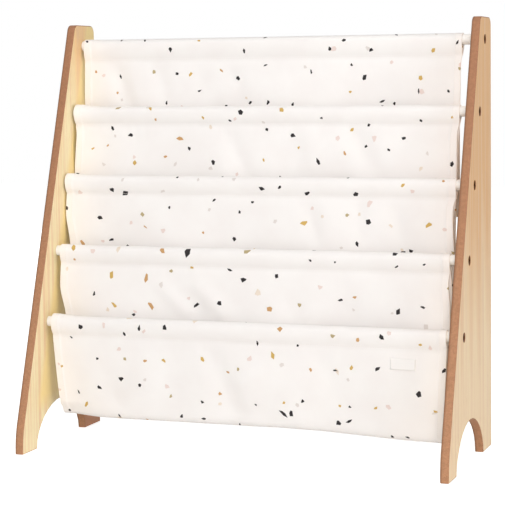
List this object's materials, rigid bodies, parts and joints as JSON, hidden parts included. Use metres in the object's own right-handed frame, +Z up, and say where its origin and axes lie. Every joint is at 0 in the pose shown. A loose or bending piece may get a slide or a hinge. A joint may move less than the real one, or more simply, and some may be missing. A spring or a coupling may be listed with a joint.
{
  "type": "sling bookshelf",
  "caption": "Child's sling bookshelf: leaning side panels with arched feet, round rods between them, and a canvas strip hung over the rods in open book pockets.",
  "frame": {"origin": "centre of the footprint, on the floor", "axes": "+X along the rods to the object's right as seen from the front, +Y to the rear, +Z up; the front faces -Y"},
  "size_m": [0.627, 0.262, 0.61],
  "materials": {
    "panel_veneer": "satin",
    "rod_coat": "satin",
    "sling_canvas": "matte",
    "tag_weave": "matte",
    "bolt_bronze": "antique",
    "plug_zinc": "zinc plated"
  },
  "bodies": {
    "root": {"left_side_panel": "panel_veneer", "right_side_panel": "panel_veneer", "rod_1": "rod_coat", "rod_2": "rod_coat", "rod_3": "rod_coat", "rod_4": "rod_coat", "rod_5": "rod_coat", "left_bolt_1": "bolt_bronze", "left_bolt_2": "bolt_bronze", "left_bolt_3": "bolt_bronze", "left_bolt_4": "bolt_bronze", "left_bolt_5": "bolt_bronze", "right_bolt_1": "bolt_bronze", "right_bolt_2": "bolt_bronze", "right_bolt_3": "bolt_bronze", "right_bolt_4": "bolt_bronze", "right_bolt_5": "bolt_bronze", "left_rod_plug_1": "plug_zinc", "left_rod_plug_2": "plug_zinc", "left_rod_plug_3": "plug_zinc", "left_rod_plug_4": "plug_zinc", "left_rod_plug_5": "plug_zinc", "right_rod_plug_1": "plug_zinc", "right_rod_plug_2": "plug_zinc", "right_rod_plug_3": "plug_zinc", "right_rod_plug_4": "plug_zinc", "right_rod_plug_5": "plug_zinc", "sling_pocket_1": "sling_canvas", "sling_pocket_2": "sling_canvas", "sling_pocket_3": "sling_canvas", "sling_pocket_4": "sling_canvas", "sewn_tag": "tag_weave"}
  },
  "joints": []
}
